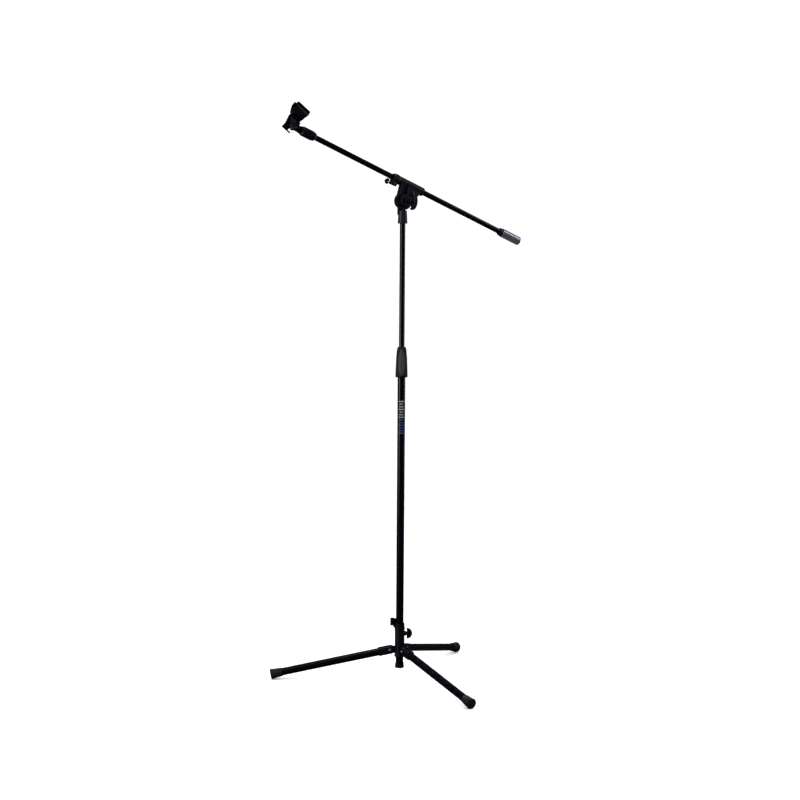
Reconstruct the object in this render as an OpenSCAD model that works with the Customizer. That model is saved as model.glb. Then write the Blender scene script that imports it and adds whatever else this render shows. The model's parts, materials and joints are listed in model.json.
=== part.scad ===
// Boom microphone stand: folding tripod, telescoping column, tilting boom, spring clip.
// Millimetres, +Z up. The origin is on the column axis at floor level, the boom lies in
// the X-Z plane with its clip end towards -X, and one leg points to -Y.

/* [Height and boom] */
// height of the boom's tilt axis above the floor
pivot_h = 1383; // [1330:1:1660]
// angle of the boom above the horizontal, clip end up
tilt = 22.3; // [0:0.1:60]
// how far the clip end of the boom tube is from the tilt axis
boom_front = 327; // [290:1:360]
// how far the counterweight's end is from the tilt axis
boom_back = 418; // [380:1:470]
// outer radius of the boom tube
boom_r = 7.75; // [7:0.05:8]
// distance from the tilt axis to the boom's own axis
boom_off = 48.5; // [46:0.5:58]

/* [Column] */
// outer radius of the lower tube
tube_r = 11.1; // [10.6:0.1:11.6]
// outer radius of the upper tube
mast_r = 8; // [6.7:0.1:8.2]
// wall thickness of every tube
wall = 1.2; // [1:0.1:1.5]
// height of the lower tube's cap above the floor
cap_z = 34; // [20:1:36]
// height where the twist clutch starts
clutch_z = 882; // [700:2:930]
// height of the twist clutch
clutch_h = 87; // [84:1:95]

/* [Legs] */
// distance from the column axis to the middle of a foot's end
leg_reach = 374; // [320:2:460]
// height where the three leg axes would meet on the column axis
leg_top = 93; // [88:1:100]
// outer radius of a leg tube
leg_r = 11; // [10:0.1:11.4]
// distance from the column axis to a leg's hinge pin
leg_pin_x = 27; // [27:0.5:30]
// height of the hub's top above the floor
hub_top = 153; // [150:1:180]

/* [Clip] */
// how far the clip is folded back from the line of the boom
clip_tilt = 105; // [90:1:110]
// length of the jaws along the microphone
jaw_len = 45; // [42:1:50]
// radius of the microphone handle the jaws close on
grip_r = 12.5; // [10.5:0.5:13]

/* [Hidden] */
$fn = 64;
run = 0.05;               // radial clearance of a turning or sliding fit
foot_r = 15.5;            // radius of a foot's flat end
foot_len = 35;
foot_flat = 0.9;          // how much of a foot's lower corner is worn flat on the floor
leg_angle = atan((leg_top - foot_r * cos(11.75) + foot_flat) / leg_reach);
leg_pin_z = leg_top - leg_pin_x * tan(leg_angle);
leg_len = (leg_reach - leg_pin_x) / cos(leg_angle);
leg_azimuths = [-90, 30, 150];
hub_r = 14.25;
hub_bottom = 67;
knuckle_out = 35;         // where the knuckle's visible part ends, from the hinge pin
knuckle_h = 11.6;         // half the height of the knuckle
cheek_y = 11;             // half the knuckle's width
lug_y = 4.9;              // half the width of the hub's lug between the two cheeks
stop_x = 12.3;            // end of the slot in the knuckle
rivet_r = 2.5;
screw_z = 135;            // height of the hub's locking screw
screw_azimuth = -30;
clip_x = 22;              // the cable channel's distance from the column axis
clutch_top = clutch_z + clutch_h;
tube_top = clutch_z + 46;
neck_z = pivot_h - 64;    // bottom of the swivel's neck
neck_top = pivot_h - 27;
ear_r = 22;
cheek_r = 25;
holder_half = 56;         // how far the boom holder reaches towards the clip
holder_back = 50;         // how far it reaches towards the weight
liner_r = boom_r + run + 1.25;
holder_r = 12.4;
stem_start = boom_front + 11;
stem_len = 36;
clip_pivot = stem_start + stem_len + 22;
thread_r = 7.75;
hinge_z = 22;             // clip hinge above the clip's swivel screw
jaw_x = -14;              // middle of the jaws along the microphone, from the swivel screw
waist = 34;
mic_z = hinge_z + 18;
jaw_wall = 4;

// ---------- helpers ----------
module rod_x(x0, x1, r) { translate([x0, 0, 0]) rotate([0, 90, 0]) cylinder(h = x1 - x0, r = r); }
module rod_y(y0, y1, r) { translate([0, y0, 0]) rotate([-90, 0, 0]) cylinder(h = y1 - y0, r = r); }
module rod_z(z0, z1, r) { translate([0, 0, z0]) cylinder(h = z1 - z0, r = r); }
module ring_z(z0, z1, ro, ri) {
    difference() { rod_z(z0, z1, ro); rod_z(z0 - 1, z1 + 1, ri); }
}
module ring_x(x0, x1, ro, ri) {
    difference() { rod_x(x0, x1, ro); rod_x(x0 - 1, x1 + 1, ri); }
}
module box(x0, x1, y0, y1, z0, z1) { translate([x0, y0, z0]) cube([x1 - x0, y1 - y0, z1 - z0]); }
// a flat plate drawn in X-Z, between two values of Y
module plate_y(y0, y1) { translate([0, y1, 0]) rotate([90, 0, 0]) linear_extrude(y1 - y0) children(); }
// a section drawn in Y-Z, between two values of X
module bar_x(x0, x1) { translate([x0, 0, 0]) rotate([90, 0, 90]) linear_extrude(x1 - x0) children(); }

module on_leg(i) {
    rotate([0, 0, leg_azimuths[i]]) translate([leg_pin_x, 0, leg_pin_z]) rotate([0, leg_angle, 0]) children();
}
module on_screw() { rotate([0, 0, screw_azimuth]) translate([0, 0, screw_z]) rotate([0, 90, 0]) children(); }
module on_pivot() { translate([0, 0, pivot_h]) children(); }
module on_head() { on_pivot() rotate([0, tilt, 0]) children(); }
module on_boom() { on_head() translate([0, 0, boom_off]) children(); }
// the clamp screw's axis lies along Y, leaning up a little at the knob's end
module at_clamp() { translate([-(holder_half - 8), 0, -14.2]) rotate([10, 0, 0]) children(); }
module on_clamp() { on_boom() at_clamp() children(); }
module on_clip() { on_boom() translate([-clip_pivot, 0, 0]) rotate([0, clip_tilt - 90, 0]) children(); }

// a half-moon wing on a round collar, growing along +Z
module wing(r, t, collar_r, collar_len) {
    rod_z(0, collar_len + r * 0.35, collar_r);
    translate([0, 0, collar_len]) {
        plate_y(-t * 0.3, t * 0.3) intersection() { circle(r - 0.5); translate([-r, 0]) square([2 * r, r]); }
        plate_y(-t / 2, t / 2) difference() {
            intersection() { circle(r); translate([-r, 0]) square([2 * r, r]); }
            circle(r * 0.78);
        }
    }
}

// ---------- base ----------
module hub() {
    color("#2a2b2e") difference() {
        union() {
            rod_z(hub_bottom, hub_top, hub_r);
            rod_z(hub_bottom, hub_bottom + 5, hub_r + 1);
            rod_z(hub_top - 7, hub_top, hub_r + 0.9);
            on_screw() cylinder(h = hub_r + 4.5, r = 7);
            for (a = leg_azimuths) rotate([0, 0, a]) plate_y(-lug_y, lug_y) {
                translate([8, leg_pin_z - 10]) square([leg_pin_x - 8, 20]);
                translate([leg_pin_x, leg_pin_z]) circle(10);
                // square nose above the pin: the open leg rests against its end
                translate([leg_pin_x, leg_pin_z]) rotate(-leg_angle) square([stop_x - 0.1, 10]);
            }
        }
        rod_z(hub_bottom - 5, hub_top + 5, tube_r + run);
        for (a = leg_azimuths) rotate([0, 0, a]) translate([leg_pin_x, 0, leg_pin_z]) rod_y(-12, 12, rivet_r);
        on_screw() cylinder(h = hub_r + 10, r = 3 + run);
    }
}
module cable_clip() {
    color("#1d1e20") rotate([0, 0, 150]) {
        difference() {
            union() {
                rod_z(hub_top, hub_top + 12, tube_r + 3);
                box(tube_r, clip_x - 3, -4, 4, hub_top, hub_top + 26);
                translate([clip_x, 0, 0]) rod_z(hub_top + 6, hub_top + 27, 6);
            }
            rod_z(hub_top - 8, hub_top + 33, tube_r + run);
            translate([clip_x, 0, 0]) rod_z(hub_top - 8, hub_top + 33, 3.8);
            box(clip_x, clip_x + 10, -2.2, 2.2, hub_top - 8, hub_top + 33);
            rod_z(hub_top - 8, hub_top, hub_r + 1.2);
        }
    }
}
module leg_pins() {
    color("#b9bcc0") for (a = leg_azimuths) rotate([0, 0, a]) translate([leg_pin_x, 0, leg_pin_z]) {
        rod_y(-cheek_y - 0.1, cheek_y + 0.1, rivet_r);
        for (s = [-1, 1]) intersection() {
            translate([0, s * (cheek_y - 4.23), 0]) sphere(r = 6);
            rod_y(min(s * (cheek_y + run), s * 14), max(s * (cheek_y + run), s * 14), 4.2);
        }
    }
}
module hub_screw() { color("#b9bcc0") on_screw() rod_z(tube_r + 0.15, hub_r + 9, 3); }
module hub_knob() {
    color("#151617") on_screw() translate([0, 0, hub_r + 4.7]) difference() {
        wing(16, 7, 5.5, 1.5);
        rod_z(-1, 5.5, 3);
    }
}

// ---------- legs ----------
module leg_knuckle(i) {
    color("#1b1c1e") on_leg(i) difference() {
        union() {
            intersection() {
                plate_y(-cheek_y, cheek_y) {
                    circle(knuckle_h);
                    translate([0, -knuckle_h]) square([knuckle_out, 2 * knuckle_h]);
                }
                rod_x(-knuckle_h - 1, knuckle_out + 1, 14.2);
            }
            rod_x(knuckle_out - 1, knuckle_out + 28, leg_r - wall);
        }
        box(-knuckle_h - 1, stop_x, -lug_y - 0.2, lug_y + 0.2, -13, 13);
        rod_y(-12, 12, rivet_r + run);
    }
}
module leg_tube(i) {
    color("#101113") on_leg(i) ring_x(knuckle_out, leg_len - 4, leg_r, leg_r - wall);
}
module foot(i) {
    color("#0c0c0d") difference() {
        on_leg(i) translate([leg_len, 0, 0]) rotate([0, -90, 0]) difference() {
            rotate_extrude() polygon([[0, 0], [foot_r - 0.6, 0], [foot_r, 0.6], [foot_r, 3], [leg_r + 3.4, 8],
                [leg_r + 1.4, foot_len - 9], [leg_r + 1, foot_len], [0, foot_len]]);
            rod_z(4, foot_len + 1, leg_r);
        }
        translate([0, 0, -20]) cylinder(h = 20, r = leg_reach + 40);
    }
}

// ---------- column ----------
module lower_tube() { color("#131416") ring_z(cap_z + 3, tube_top, tube_r, tube_r - wall); }
module tube_cap() {
    color("#0e0f10") difference() {
        rotate_extrude() polygon([[0, cap_z], [12.4, cap_z], [13.25, cap_z + 1], [13.25, cap_z + 6],
            [12.4, cap_z + 7], [12.4, cap_z + 14], [0, cap_z + 14]]);
        rod_z(cap_z + 3, cap_z + 15, tube_r);
    }
}
// plain tick marks printed on the lower tube
function mark_z(k) = clutch_z - 162 + k * 7.6;
module tube_marks() {
    color("#c9ced6") rotate([0, 0, -122]) intersection() {
        ring_z(clutch_z - 170, clutch_z - 60, tube_r + 0.15, tube_r);
        for (k = [0:12]) box(5, 14, 1.6 * (k % 3) - 7.4, 7.4 - 1.6 * (k % 3), mark_z(k), mark_z(k) + 3);
    }
}
module clutch_core() {
    color("#222326") difference() {
        union() {
            rod_z(clutch_z + 4, tube_top + 3, 14);
            rod_z(clutch_z + 4, clutch_z + 10, 15.2);
        }
        rod_z(clutch_z, tube_top, tube_r);
        rod_z(clutch_z, tube_top + 8, tube_r - wall);
    }
}
module clutch_collet() {
    color("#d7d8d3") difference() {
        rotate_extrude() polygon([[mast_r + run, tube_top + 3.5], [12, tube_top + 3.5],
            [12, tube_top + 14], [10, tube_top + 26], [mast_r + run, tube_top + 26]]);
        for (a = [0:60:300]) rotate([0, 0, a]) box(6, 14, -0.6, 0.6, tube_top + 9, tube_top + 27);
    }
}
module clutch_grip() {
    color("#303236") difference() {
        rotate_extrude() polygon([[0, clutch_z], [17, clutch_z], [17.6, clutch_z + 1.2], [17.6, clutch_z + 6],
            [16, clutch_top - 34], [13.9, clutch_top - 12], [12.7, clutch_top - 5], [10.9, clutch_top - 1.2],
            [9.8, clutch_top], [0, clutch_top]]);
        rod_z(clutch_z - 1, clutch_z + 11, 15.2 + 0.1);
        rod_z(clutch_z - 1, tube_top + 4, 14 + run);
        rotate_extrude() polygon([[0, tube_top + 3], [12.1, tube_top + 3], [12.1, tube_top + 14.1],
            [10.03, tube_top + 26.5], [0, tube_top + 26.5]]);
        rod_z(clutch_z - 1, clutch_top + 1, mast_r + 0.4);
    }
}
module guide_bush() {
    color("#e4e2da") difference() {
        rod_z(clutch_z - 242, clutch_z - 210, tube_r - wall - run);
        rod_z(clutch_z - 243, clutch_z - 209, mast_r - wall - 2.5);
        rod_z(clutch_z - 239, clutch_z - 209, mast_r + run);
    }
}
module upper_tube() { color("#131416") ring_z(clutch_z - 238.9, pivot_h - 48, mast_r, mast_r - wall); }

// ---------- swivel ----------
module swivel_base() {
    color("#26282c") difference() {
        union() {
            rotate_extrude() polygon([[0, neck_z], [13.4, neck_z], [14, neck_z + 1], [12, neck_top], [0, neck_top]]);
            on_pivot() plate_y(1.6, 11.6) { circle(ear_r); translate([-11, -40]) square([22, 40]); }
            on_pivot() rod_y(11.6, 15.6, 12);
        }
        rod_z(neck_z - 1, pivot_h - 48, mast_r);
        on_pivot() rod_y(-2, 20, 4);
        on_pivot() translate([0, 11.5, 0]) rotate([-90, 0, 0]) cylinder(h = 10, r = 7.6, $fn = 6);
    }
}
module tilt_bolt() {
    color("#b9bcc0") on_pivot() {
        rod_y(-52, 12, 4);
        translate([0, 11.5, 0]) rotate([-90, 0, 0]) cylinder(h = 5, r = 7.6, $fn = 6);
    }
}
module friction_disc() {
    color("#6b5a45") on_pivot() difference() { rod_y(-0.4, 1.6, 19); rod_y(-1, 3, 4); }
}
module bolt_washer() {
    color("#c3c6ca") on_pivot() difference() { rod_y(-30.2, -28.6, 9.5); rod_y(-31, -28, 4 + run); }
}
module tilt_knob() {
    color("#141517") on_pivot() rotate([90, 0, 0]) rotate([0, 0, 90]) translate([0, 0, 30.3]) difference() {
        wing(26, 10, 8.6, 17);
        rod_z(-1, 22.5, 4 + run);
        for (a = [0:45:315]) rotate([0, 0, a]) translate([9.6, 0, -1]) cylinder(h = 14, r = 1.6);
    }
}

// ---------- boom holder ----------
module boom_holder() {
    color("#2b2c31") on_head() difference() {
        union() {
            plate_y(-10.5, -0.5) {
                circle(cheek_r);
                polygon([[-24.4, -5.2], [-30, boom_off - 8], [-30, boom_off], [40, boom_off], [40, boom_off - 8], [23, -9.5]]);
            }
            rotate([90, 0, 0]) rotate_extrude() polygon([[0, 9], [18.5, 9], [17, 28.5], [0, 28.5]]);
            translate([0, 0, boom_off]) {
                rod_x(-holder_half + 4, holder_back, holder_r);
                translate([-holder_half, 0, 0]) rotate([0, 90, 0]) rotate_extrude()
                    polygon([[0, 0], [10.6, 0], [12.6, 2.5], [13.6, 7], [13.6, 14], [12.2, 22], [0, 22]]);
                at_clamp() box(-7.5, 8, -9, 11.5, -6.5, 9);
            }
            // stiffening rib on the back of the cheek
            plate_y(-15.5, -10) polygon([[-3, 15], [-7, boom_off - 6], [9, boom_off - 6], [5, 15]]);
        }
        translate([0, 0, boom_off]) {
            rod_x(-holder_half - 1, holder_back + 1, liner_r);
            at_clamp() box(-9, 8.5, -1.1, 1.1, -10, 8);
            at_clamp() rod_y(-12, 12, 2.5 + run);
        }
        rod_y(-40, 10, 4 + run);
    }
}
module boom_liner() {
    color("#3c3d40") on_boom() difference() {
        union() {
            rod_x(-holder_half - 2, holder_back + 2, liner_r - run);
            for (x = [-holder_half - 2.4, holder_back + 0.4]) rod_x(x, x + 2, liner_r + 1.3);
        }
        rod_x(-holder_half - 4, holder_back + 4, boom_r + run);
    }
}
module clamp_screw() { color("#b9bcc0") on_clamp() rod_y(-11.5, 41, 2.5); }
module clamp_nut() {
    color("#b9bcc0") on_clamp() difference() {
        translate([0, -13, 0]) rotate([-90, 0, 0]) cylinder(h = 4, r = 4.6, $fn = 6);
        rod_y(-14, -8, 2.5 + run);
    }
}
module clamp_knob() {
    color("#141517") on_clamp() difference() {
        union() {
            rod_y(29, 33, 4.2);
            rod_y(33, 45, 5.5);
            plate_y(35, 43) translate([-3, -8]) square([6, 16]);
        }
        rod_y(28, 41, 2.5);
    }
}

// ---------- boom ----------
weight_x = boom_back - 68;
module boom_tube() { color("#131416") on_boom() ring_x(-boom_front, boom_back - 26, boom_r, boom_r - wall); }
module boom_adapter() {
    color("#c9ccd0") on_boom() {
        rod_x(-boom_front, -boom_front + 24, boom_r - wall);
        rod_x(-boom_front - 3.5, -boom_front, boom_r + 0.9);
        rod_x(-boom_front - 29, -boom_front - 3, thread_r);
    }
}
module lock_ring() {
    color("#1a1b1d") on_boom() difference() {
        rod_x(-boom_front - 10.7, -boom_front - 4.2, 12);
        rod_x(-boom_front - 12, -boom_front - 3, thread_r + run);
        for (a = [0:20:340]) rotate([a, 0, 0]) translate([0, 0, 12.4]) rod_x(-boom_front - 12, -boom_front - 3, 1);
    }
}
module weight_core() { color("#6f7275") on_boom() difference() { rod_x(weight_x, boom_back - 4, 10.5); rod_x(weight_x - 1, boom_back - 26, boom_r); } }
module weight_cover() {
    color("#101113") on_boom() difference() {
        translate([weight_x, 0, 0]) rotate([0, 90, 0]) rotate_extrude()
            polygon([[0, 0], [12.3, 0], [12.75, 0.8], [12.75, 65], [12.2, 67], [11, 68], [0, 68]]);
        rod_x(weight_x - 1, boom_back - 4, 10.5);
    }
}
module weight_collar() {
    color("#1c1d1f") on_boom() difference() {
        translate([weight_x - 9, 0, 0]) rotate([0, 90, 0]) rotate_extrude()
            polygon([[0, 0], [10, 0], [11.4, 1.4], [11.4, 9], [0, 9]]);
        rod_x(weight_x - 10, weight_x + 1, boom_r);
    }
}

// ---------- clip ----------
module clip_stem() {
    color("#1d1e22") on_boom() difference() {
        union() {
            intersection() {
                rod_x(-stem_start - stem_len, -stem_start, 13.5);
                translate([-stem_start - stem_len - 1, 0, 0]) rotate([0, 90, 0])
                    cylinder(h = stem_len + 2, r1 = 9.8, r2 = 9.8 + stem_len * 0.9);
            }
            plate_y(-3.4, 3.4) {
                translate([-clip_pivot, 0]) circle(9);
                translate([-clip_pivot, 0]) polygon([[0, -9], [12, -9], [20, -10.6], [24, -10.6],
                    [24, 10.6], [20, 10.6], [12, 9], [0, 9]]);
            }
            plate_y(-5.6, 5.6) translate([-clip_pivot, 0]) polygon([[17.5, -8.5], [24, -10.4], [24, 10.4], [17.5, 8.5]]);
        }
        rod_x(-stem_start - 22, -stem_start + 1, thread_r + 2.2);
        translate([-clip_pivot, 0, 0]) rod_y(-6, 6, 2.5 + run);
        for (a = [0:15:345]) rotate([a, 0, 0]) translate([0, 0, 14.1]) rod_x(-stem_start - 24, -stem_start - 3, 1.1);
    }
}
module clip_insert() { color("#b8985a") on_boom() ring_x(-stem_start - 21, -stem_start, thread_r + 2.2, thread_r + run); }

// outline of a jaw in the Y-Z plane, on the +Y side
module jaw_section() {
    difference() {
        translate([0, mic_z]) difference() { circle(grip_r + 1.2 + jaw_wall); circle(grip_r + 1.2); }
        translate([-40, 0]) square([40.4, 90]);
        translate([-40, mic_z + 13]) square([80, 40]);
    }
    polygon([[4.4, mic_z + 12.9], [8.4, mic_z + 12], [13, mic_z + 17.3], [11, mic_z + 19.2]]);
    polygon([[0.6, hinge_z + 2], [4.6, hinge_z - 1], [23.6, hinge_z - 37.4], [20.3, hinge_z - 37.8], [2, hinge_z - 3], [0.6, hinge_z - 3]]);
}
// hourglass outline of the clip from the side, in X-Z
module jaw_outline() {
    polygon([[jaw_x - jaw_len / 2, 62], [jaw_x + jaw_len / 2 - 2, 62], [jaw_x + jaw_len / 2, 60], [jaw_x + jaw_len / 2, 50],
        [jaw_x + waist / 2, 33], [jaw_x + waist / 2, 12], [jaw_x + 20, -2], [jaw_x + 20, -24],
        [jaw_x - 9, -24], [jaw_x - 10, -2], [jaw_x - waist / 2, 16], [jaw_x - waist / 2, 33],
        [jaw_x - jaw_len / 2 - 1, 52]]);
}
module jaw_body() {
    intersection() {
        bar_x(jaw_x - 30, jaw_x + 30) jaw_section();
        plate_y(-1, 40) jaw_outline();
    }
}
fixed_knuckles = [[jaw_x - 17, jaw_x - 10.5], [jaw_x + 9.5, jaw_x + 17]];
moving_knuckles = [[jaw_x - 10.2, jaw_x - 5], [jaw_x + 4, jaw_x + 9.2]];
module hinge_rods(spans, r) {
    for (s = spans) translate([0, 0, hinge_z]) rod_x(s[0], s[1], r);
}
module jaw_with_knuckles(own) {
    difference() {
        union() {
            difference() {
                jaw_body();
                translate([0, 0, hinge_z]) rod_x(jaw_x - 31, jaw_x + 31, 4.8);
            }
            hinge_rods(own, 4.5);
            intersection() { jaw_body(); hinge_rods(own, 4.9); }
        }
        translate([0, 0, hinge_z]) rod_x(jaw_x - 31, jaw_x + 31, 1.8 + run);
        translate([0, 0, mic_z]) rod_x(jaw_x - 31, jaw_x + 31, grip_r + 1.2);
    }
}
module jaw_fixed() {
    color("#17181a") on_clip() difference() {
        union() {
            jaw_with_knuckles(fixed_knuckles);
            // fork that straddles the stem's ear
            for (y = [-6.4, 3.7]) plate_y(y, y + 2.7) { circle(8.6); translate([-4.4, 0]) square([10, 17.4]); }
            box(-4.4, 5.6, -6.4, 6.4, 12.2, 17.4);
            box(-4.4, 3, -3, 3, 16.4, hinge_z - 3);
            box(-4.4, 2.4, 6, 13, -4, 12);
        }
        rod_y(-8, 8, 2.5 + run);
        translate([0, 6.4, 0]) rod_y(0, 20, 5);
        box(jaw_x + 9, 12, 6.5, 40, -12.6, -7);
        rod_x_hinge_hole();
    }
}
module rod_x_hinge_hole() { translate([0, 0, hinge_z]) rod_x(jaw_x - 31, jaw_x + 31, 1.8 + run); }
module jaw_moving() {
    color("#17181a") on_clip() difference() {
        mirror([0, 1, 0]) jaw_with_knuckles(moving_knuckles);
        box(jaw_x + 4.6, 12, -40, 1, -30, 12);
        box(jaw_x + 9.4, 12, -40, 8, 11, hinge_z);
    }
}
module jaw_pad() {
    bar_x(jaw_x - 16, jaw_x + 16) difference() {
        translate([0, mic_z]) difference() { circle(grip_r + 1.2); circle(grip_r); }
        translate([-40, 0]) square([42, 90]);
        translate([-40, mic_z + 9]) square([80, 40]);
        translate([-40, mic_z - 51]) square([80, 40]);
    }
}
module pad_fixed() { color("#0b0b0c") on_clip() jaw_pad(); }
module pad_moving() { color("#0b0b0c") on_clip() mirror([0, 1, 0]) jaw_pad(); }
module jaw_pin() { color("#b9bcc0") on_clip() translate([0, 0, hinge_z]) rod_x(jaw_x - 17.6, jaw_x + 17.6, 1.8); }
module jaw_spring() {
    color("#a9adb2") on_clip() translate([0, 0, hinge_z]) {
        for (k = [0:6]) translate([jaw_x - 4 + k * 1.15, 0, 0]) rotate([0, 90, 0])
            rotate_extrude() translate([2.9, 0]) circle(r = 0.62, $fn = 24);
        translate([jaw_x + 2.9, -2.7, 0]) rotate([180 + 28, 0, 0]) rod_z(0, 19, 0.5);
    }
}
module clip_screw() {
    color("#b9bcc0") on_clip() { rod_y(-6.6, 8, 2.5); rod_y(6.4, 9.2, 4.6); }
}
module clip_nut() {
    color("#b9bcc0") on_clip() difference() {
        translate([0, -7.9, 0]) rotate([-90, 0, 0]) cylinder(h = 1.5, r = 4.2, $fn = 6);
        rod_y(-9, -6, 2.5);
    }
}

hub();
cable_clip();
leg_pins();
hub_screw();
hub_knob();
leg_knuckle(0);  // leg_knuckle_1
leg_knuckle(1);  // leg_knuckle_2
leg_knuckle(2);  // leg_knuckle_3
leg_tube(0);  // leg_tube_1
leg_tube(1);  // leg_tube_2
leg_tube(2);  // leg_tube_3
foot(0);  // foot_1
foot(1);  // foot_2
foot(2);  // foot_3
lower_tube();
tube_cap();
tube_marks();
clutch_core();
clutch_collet();
clutch_grip();
guide_bush();
upper_tube();
swivel_base();
tilt_bolt();
friction_disc();
bolt_washer();
tilt_knob();
boom_holder();
boom_liner();
clamp_screw();
clamp_nut();
clamp_knob();
boom_tube();
boom_adapter();
lock_ring();
weight_core();
weight_cover();
weight_collar();
clip_stem();
clip_insert();
jaw_fixed();
jaw_moving();
pad_fixed();
pad_moving();
jaw_pin();
jaw_spring();
clip_screw();
clip_nut();
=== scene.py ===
# %% [markdown]
# # A boom microphone stand
# The stand arrives as exact parts: tubes, castings, screws and moulded pieces, each
# already in its place and joined to the part it moves with. This script dresses them.
# It rounds their edges, swaps a few plain solids for finer meshes, and gives every
# surface a finish made of shader nodes. Lengths are in metres and +Z is up.

# %% Load the frame
import json
import math

import bmesh
import bpy
from mathutils import Matrix, Vector


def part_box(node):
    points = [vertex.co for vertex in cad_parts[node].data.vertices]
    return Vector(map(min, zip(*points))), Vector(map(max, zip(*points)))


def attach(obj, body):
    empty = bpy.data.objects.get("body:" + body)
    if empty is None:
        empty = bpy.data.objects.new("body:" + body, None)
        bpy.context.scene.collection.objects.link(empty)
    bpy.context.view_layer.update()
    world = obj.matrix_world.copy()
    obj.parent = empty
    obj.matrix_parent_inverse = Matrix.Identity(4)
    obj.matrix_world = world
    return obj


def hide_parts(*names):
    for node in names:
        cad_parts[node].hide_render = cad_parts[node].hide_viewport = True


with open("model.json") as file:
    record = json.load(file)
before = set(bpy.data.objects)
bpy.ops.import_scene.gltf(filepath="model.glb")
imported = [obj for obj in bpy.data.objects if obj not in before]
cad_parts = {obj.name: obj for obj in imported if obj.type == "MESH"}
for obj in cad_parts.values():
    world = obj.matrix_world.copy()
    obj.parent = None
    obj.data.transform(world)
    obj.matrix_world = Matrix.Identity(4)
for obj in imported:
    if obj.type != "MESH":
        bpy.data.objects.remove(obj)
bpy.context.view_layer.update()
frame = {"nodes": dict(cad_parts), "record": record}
nodes = frame["nodes"]
joints = {joint["name"]: joint for joint in frame["record"]["behaviour"]["joints"]}
MM = 0.001

# Lengths that no joint or box gives, in millimetres
BOOM_FRONT = 327.0      # from the tilt axis to the boom tube's clip end
FOOT_END = 354.6        # from a leg's hinge pin to its foot's end
HUB_KNOB_OUT = 18.95    # from the column axis to the hub knob
TILT_KNOB_OUT = 30.3    # from the boom's plane to the tilt knob
print("parts:", len(nodes), "joints:", len(joints))

# %% [markdown]
# ## Where things are
# A new piece is easiest to build round the origin and then to put in place with one
# matrix. The joints already know every axis of the stand: the boom's slide gives the
# line of the boom, the clip's hinge gives the line of the jaws, and each leg's hinge
# gives the plane that the leg folds in. So the matrices are worked out from the joints.

# %% Matrices for the boom, the clip and the legs
def place(origin, x_axis, y_axis):
    """A matrix whose origin and first two axes are these."""
    x = Vector(x_axis).normalized()
    y = Vector(y_axis).normalized()
    z = x.cross(y).normalized()
    matrix = Matrix((x, z.cross(x), z)).transposed().to_4x4()
    matrix.translation = Vector(origin)
    return matrix


def joint_pos(name):
    return Vector(joints[name]["pos_m"])


def joint_axis(name):
    return Vector(joints[name]["axis"])


def middle(node):
    low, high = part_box(node)
    return (low + high) / 2


across = Vector((0, 1, 0))
boom_place = place(joint_pos("boom_roll"), -joint_axis("boom_slide"), across)
clip_place = place(joint_pos("clip_tilt"), joint_axis("jaw_open"), across)
leg_places = []
for i in (1, 2, 3):
    pin = joint_pos(f"leg_{i}_fold")
    leg_places.append(place(pin, middle(f"leg_tube_{i}") - pin, joint_axis(f"leg_{i}_fold")))
print("boom axis:", [round(v, 3) for v in joint_axis("boom_slide")])

# %% [markdown]
# ## Rounded edges
# No real edge is perfectly sharp: castings come out of a mould with a small radius, and
# tubes are deburred. That radius catches a thin line of light, which tells the eye how
# big the part is. The frame's own meshes stay as they are, and modifiers do the work:
# Weld joins the split corners, Bevel rounds every edge sharper than its angle limit.

# %% Bevel modifiers on the frame's parts
BEVEL_ANGLE = math.radians(38)


def soften(node, width):
    """Rounds a part's sharp edges by a width in millimetres."""
    part = nodes[node]
    weld = part.modifiers.new("weld", "WELD")
    weld.merge_threshold = 1e-6
    bevel = part.modifiers.new("round", "BEVEL")
    bevel.width = width * MM
    bevel.segments = 2
    bevel.limit_method = "ANGLE"
    bevel.angle_limit = BEVEL_ANGLE
    bevel.use_clamp_overlap = True
    bevel.miter_outer = "MITER_ARC"
    smooth = part.modifiers.new("smooth", "WEIGHTED_NORMAL")
    smooth.keep_sharp = False


round_mm = {
    "hub": 0.5, "cable_clip": 0.4, "swivel_base": 0.5, "boom_holder": 0.7,
    "leg_knuckle_1": 0.8, "leg_knuckle_2": 0.8, "leg_knuckle_3": 0.8,
    "jaw_fixed": 0.5, "jaw_moving": 0.5, "clip_stem": 0.35, "clamp_knob": 0.6,
    "clip_nut": 0.2, "clamp_nut": 0.25, "tilt_bolt": 0.3, "tube_cap": 0.3,
}
for name, width in round_mm.items():
    soften(name, width)
print("parts with rounded edges:", len(round_mm))

# %% [markdown]
# ## Building blocks for shaders
# A finish is mostly small unevenness. Three effects come up again and again on this
# stand: a fine grain in coatings and mouldings, edges rubbed lighter by handling, and a
# little dust that settles on what faces up. Each is a node group with named inputs,
# built once, that only puts out masks and heights. The shader itself stays in each
# material, where an exporter can read it.

# %% Helpers for node trees
def new_group(name, inputs, outputs):
    """A shader node group with float inputs {name: default} and float outputs."""
    group = bpy.data.node_groups.new(name, "ShaderNodeTree")
    for label, default in inputs.items():
        socket = group.interface.new_socket(label, in_out="INPUT", socket_type="NodeSocketFloat")
        socket.default_value = default
    for label in outputs:
        group.interface.new_socket(label, in_out="OUTPUT", socket_type="NodeSocketFloat")
    return group, group.nodes.new("NodeGroupInput"), group.nodes.new("NodeGroupOutput")


def math_node(tree, operation, first, second=None, clamp=False):
    node = tree.nodes.new("ShaderNodeMath")
    node.operation = operation
    node.use_clamp = clamp
    for index, value in enumerate((first, second)):
        if value is None:
            continue
        if isinstance(value, (int, float)):
            node.inputs[index].default_value = value
        else:
            tree.links.new(value, node.inputs[index])
    return node.outputs[0]


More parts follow.
